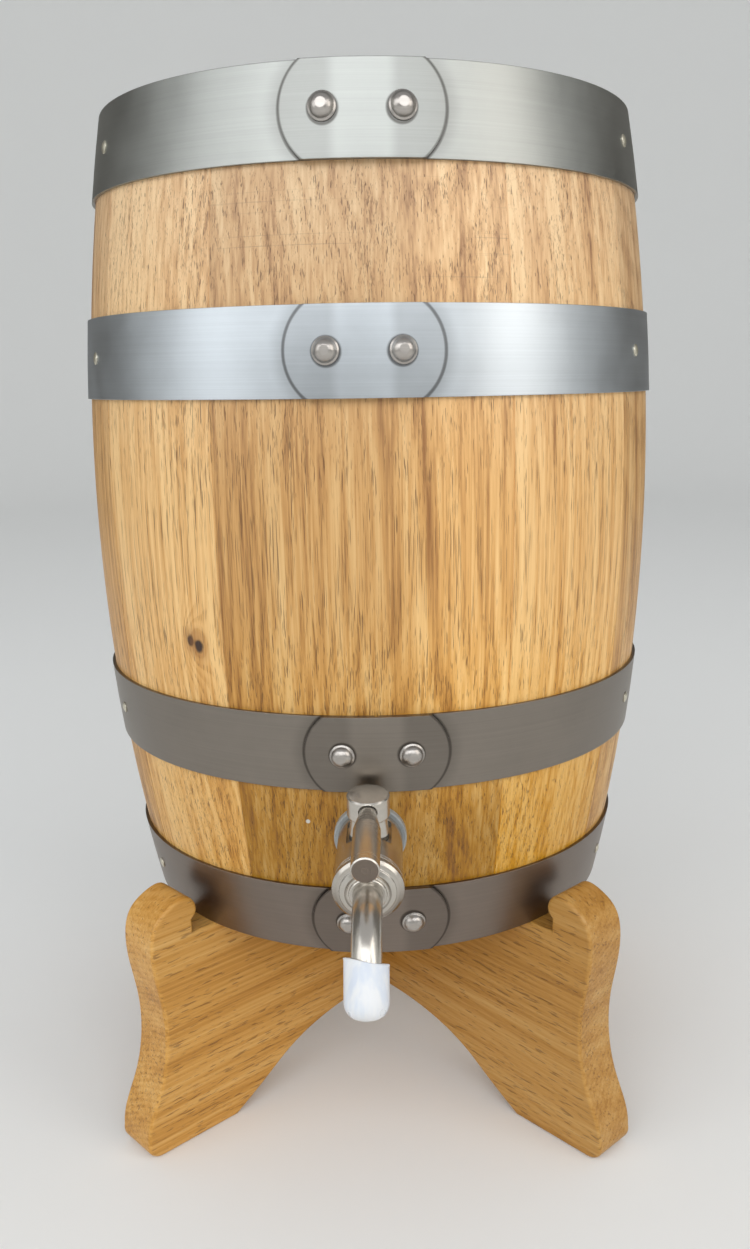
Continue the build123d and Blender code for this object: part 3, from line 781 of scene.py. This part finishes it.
def make_backdrop():
    """Pale floor that curves up into a round wall."""
    floor_radius, bend, wall, steps = 2.2, 0.8, 2.6, 8
    outline = [(0.0, 0.0), (floor_radius, 0.0)]
    for step in range(1, steps + 1):
        turn = math.radians(90 * step / steps)
        outline.append((floor_radius + bend * math.sin(turn), bend * (1 - math.cos(turn))))
    outline.append((floor_radius + bend, wall))
    shape = bmesh.new()
    points = [shape.verts.new((x, 0, z)) for x, z in outline]
    edges = [shape.edges.new(pair) for pair in zip(points, points[1:])]
    bmesh.ops.spin(
        shape, geom=points + edges, axis=(0, 0, 1), cent=(0, 0, 0), angle=math.tau, steps=96
    )
    bmesh.ops.remove_doubles(shape, verts=shape.verts, dist=1e-4)
    backdrop = smooth_object("backdrop", shape)
    surface = Surface("backdrop_paint")
    surface.set(Base_Color=backdrop_tone, Roughness=0.9, Specular_IOR_Level=0.1)
    backdrop.data.materials.append(surface.material)


make_backdrop()


def area_light(name, place, target, size, power, tone):
    """Soft rectangular light that looks at a point."""
    light = bpy.data.lights.new(name, "AREA")
    light.shape = "RECTANGLE"
    light.size, light.size_y = size
    light.energy = power
    light.color = tone
    holder = bpy.data.objects.new(name, light)
    holder.location = place
    holder.rotation_euler = (Vector(target) - Vector(place)).to_track_quat("-Z", "Y").to_euler()
    bpy.context.scene.collection.objects.link(holder)


barrel_middle = (0, axis_y, belly_height)
cool, warm = (0.94, 0.97, 1.0), (1.0, 0.97, 0.93)
area_light("sky", (-0.1, -1.7, 1.35), barrel_middle, (2.6, 1.2), 22, cool)
area_light("left", (-1.3, -0.8, 0.9), barrel_middle, (0.8, 1.2), 4.5, cool)
area_light("right", (1.3, -0.8, 0.9), barrel_middle, (0.8, 1.2), 6.5, warm)


def dark_screen(name, tone, radius, azimuths, heights):
    """Upright curved screen that gives bright metal its dark parts.

    It is seen in reflections and through clear parts, never straight on, and casts no shadow.
    """
    steps = 24
    corners = []
    for step in range(steps + 1):
        azimuth = math.radians(azimuths[0] + (azimuths[1] - azimuths[0]) * step / steps)
        x, y = radius * math.sin(azimuth), -radius * math.cos(azimuth)
        corners += [(x, y, heights[0]), (x, y, heights[1])]
    faces = [(i, i + 2, i + 3, i + 1) for i in range(0, 2 * steps, 2)]
    mesh = bpy.data.meshes.new(name)
    mesh.from_pydata(corners, [], faces)
    screen = bpy.data.objects.new(name, mesh)
    bpy.context.scene.collection.objects.link(screen)
    surface = Surface(name + "_paint")
    surface.set(Base_Color=tone, Roughness=0.9, Specular_IOR_Level=0.1)
    mesh.materials.append(surface.material)
    screen.visible_camera = False
    screen.visible_diffuse = False
    screen.visible_shadow = False


dark_screen("front_screen", colour(24, 22, 22), 1.15, (-2, 6), (0.50, 0.90))
dark_screen("back_screen", colour(110, 106, 100), 1.9, (100, 260), (0.0, 2.2))


world = bpy.data.worlds.new("studio")
bpy.context.scene.world = world
world.use_nodes = True
background = world.node_tree.nodes["Background"]
background.inputs["Color"].default_value = (0.95, 0.97, 1.0, 1)
background.inputs["Strength"].default_value = 0.55


def make_camera():
    """Camera in front of the barrel, level with its lid, looking down at the tap."""
    azimuth = math.radians(1.5)
    distance, height = 0.4155, 0.2678
    # Radians
    pitch, yaw, roll = 0.3058, -0.0124, -0.0152
    forward = Vector(
        (math.sin(yaw) * math.cos(pitch), math.cos(yaw) * math.cos(pitch), -math.sin(pitch))
    )
    level = Vector((math.cos(yaw), -math.sin(yaw), 0))
    upright = level.cross(forward)
    right = level * math.cos(roll) + upright * math.sin(roll)
    up = upright * math.cos(roll) - level * math.sin(roll)
    data = bpy.data.cameras.new("camera")
    data.lens, data.sensor_width = 31.29, 36.0
    data.shift_x, data.shift_y = -0.0122, 0.0770
    data.clip_start, data.clip_end = 0.01, 50
    camera = bpy.data.objects.new("camera", data)
    turn = Matrix((right, up, -forward)).transposed().to_4x4()
    place = (distance * math.sin(azimuth), axis_y - distance * math.cos(azimuth), height)
    camera.matrix_world = Matrix.Translation(place) @ turn
    bpy.context.scene.collection.objects.link(camera)
    bpy.context.scene.camera = camera


make_camera()
bpy.context.scene.view_settings.view_transform = "Standard"
